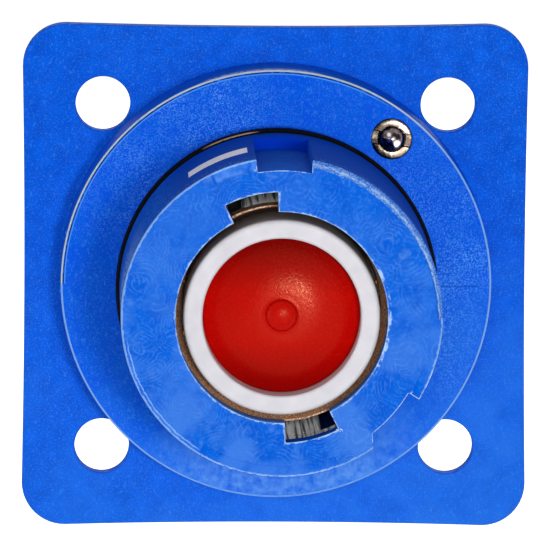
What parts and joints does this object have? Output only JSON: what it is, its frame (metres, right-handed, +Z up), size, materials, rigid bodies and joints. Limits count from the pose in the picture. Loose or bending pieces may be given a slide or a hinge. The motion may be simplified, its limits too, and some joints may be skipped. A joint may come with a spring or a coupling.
{
  "type": "single-pole panel inlet connector",
  "caption": "Square flanged round power inlet with a keyed insulating nose, a sprung touch guard, a bayonet contact chamber, a ball plunger lock and a rear terminal stud.",
  "frame": {"origin": "centre of the flange on its back face, which bears on the panel", "axes": "+Z up, the nose points along -Y, and the terminal stud points along +Y behind the panel"},
  "size_m": [0.075, 0.1014, 0.075],
  "materials": {
    "flange_plastic": "moulded glass-filled nylon, mottled satin",
    "nose_plastic": "machined nylon with fine swirl marks",
    "black_rubber": "smooth nitrile rubber",
    "white_paint": "thin brushed paint",
    "black_plastic": "moulded black nylon",
    "plain_steel": "ground steel",
    "silver_plate": "silver-plated copper, turned",
    "bronze": "turned bronze, oxidised",
    "band_alloy": "stamped spring copper",
    "dark_steel": "phosphated spring steel",
    "white_plastic": "turned white acetal",
    "red_plastic": "moulded red plastic, satin",
    "spring_steel": "drawn spring wire",
    "plated_stud": "tin-plated brass thread",
    "zinc_steel": "zinc-plated steel",
    "plunger_steel": "turned stainless steel",
    "polished_steel": "polished bearing ball"
  },
  "bodies": {
    "connector": {"mounting_flange": "flange_plastic", "panel_seal": "black_rubber", "nose_insulator": "nose_plastic", "nose_seal": "black_rubber", "alignment_mark": "white_paint", "ring_nut": "black_plastic", "index_pin": "plain_steel", "front_chamber_ring": "silver_plate", "chamber_seal": "black_rubber", "bayonet_sleeve": "silver_plate", "contact_tube": "silver_plate", "lead_in_ring": "bronze", "contact_band": "band_alloy", "contact_base": "silver_plate", "base_seal": "black_rubber", "locating_pins": "plain_steel", "retaining_ring": "dark_steel", "guard_spring": "spring_steel", "rear_cover": "black_plastic", "terminal_stud": "plated_stud", "flat_washers": "zinc_steel", "spring_washer": "zinc_steel", "terminal_nut": "zinc_steel", "plunger_sleeve": "plunger_steel", "plunger_spring": "spring_steel"},
    "guard": {"guard_ring": "white_plastic", "guard_cap": "red_plastic"},
    "ball": {"plunger_ball": "polished_steel"}
  },
  "joints": [
    {"name": "guard_press", "type": "slide", "parent": "connector", "child": "guard", "axis": [0, 1, 0], "range_m": [0, 0.018], "stiffness_N_per_m": 840, "springref_m": -0.0095, "deforming": ["guard_spring"]},
    {"name": "ball_press", "type": "slide", "parent": "connector", "child": "ball", "axis": [0, 1, 0], "range_m": [0, 0.001], "stiffness_N_per_m": 5000, "springref_m": -0.0012, "deforming": ["plunger_spring"]}
  ]
}
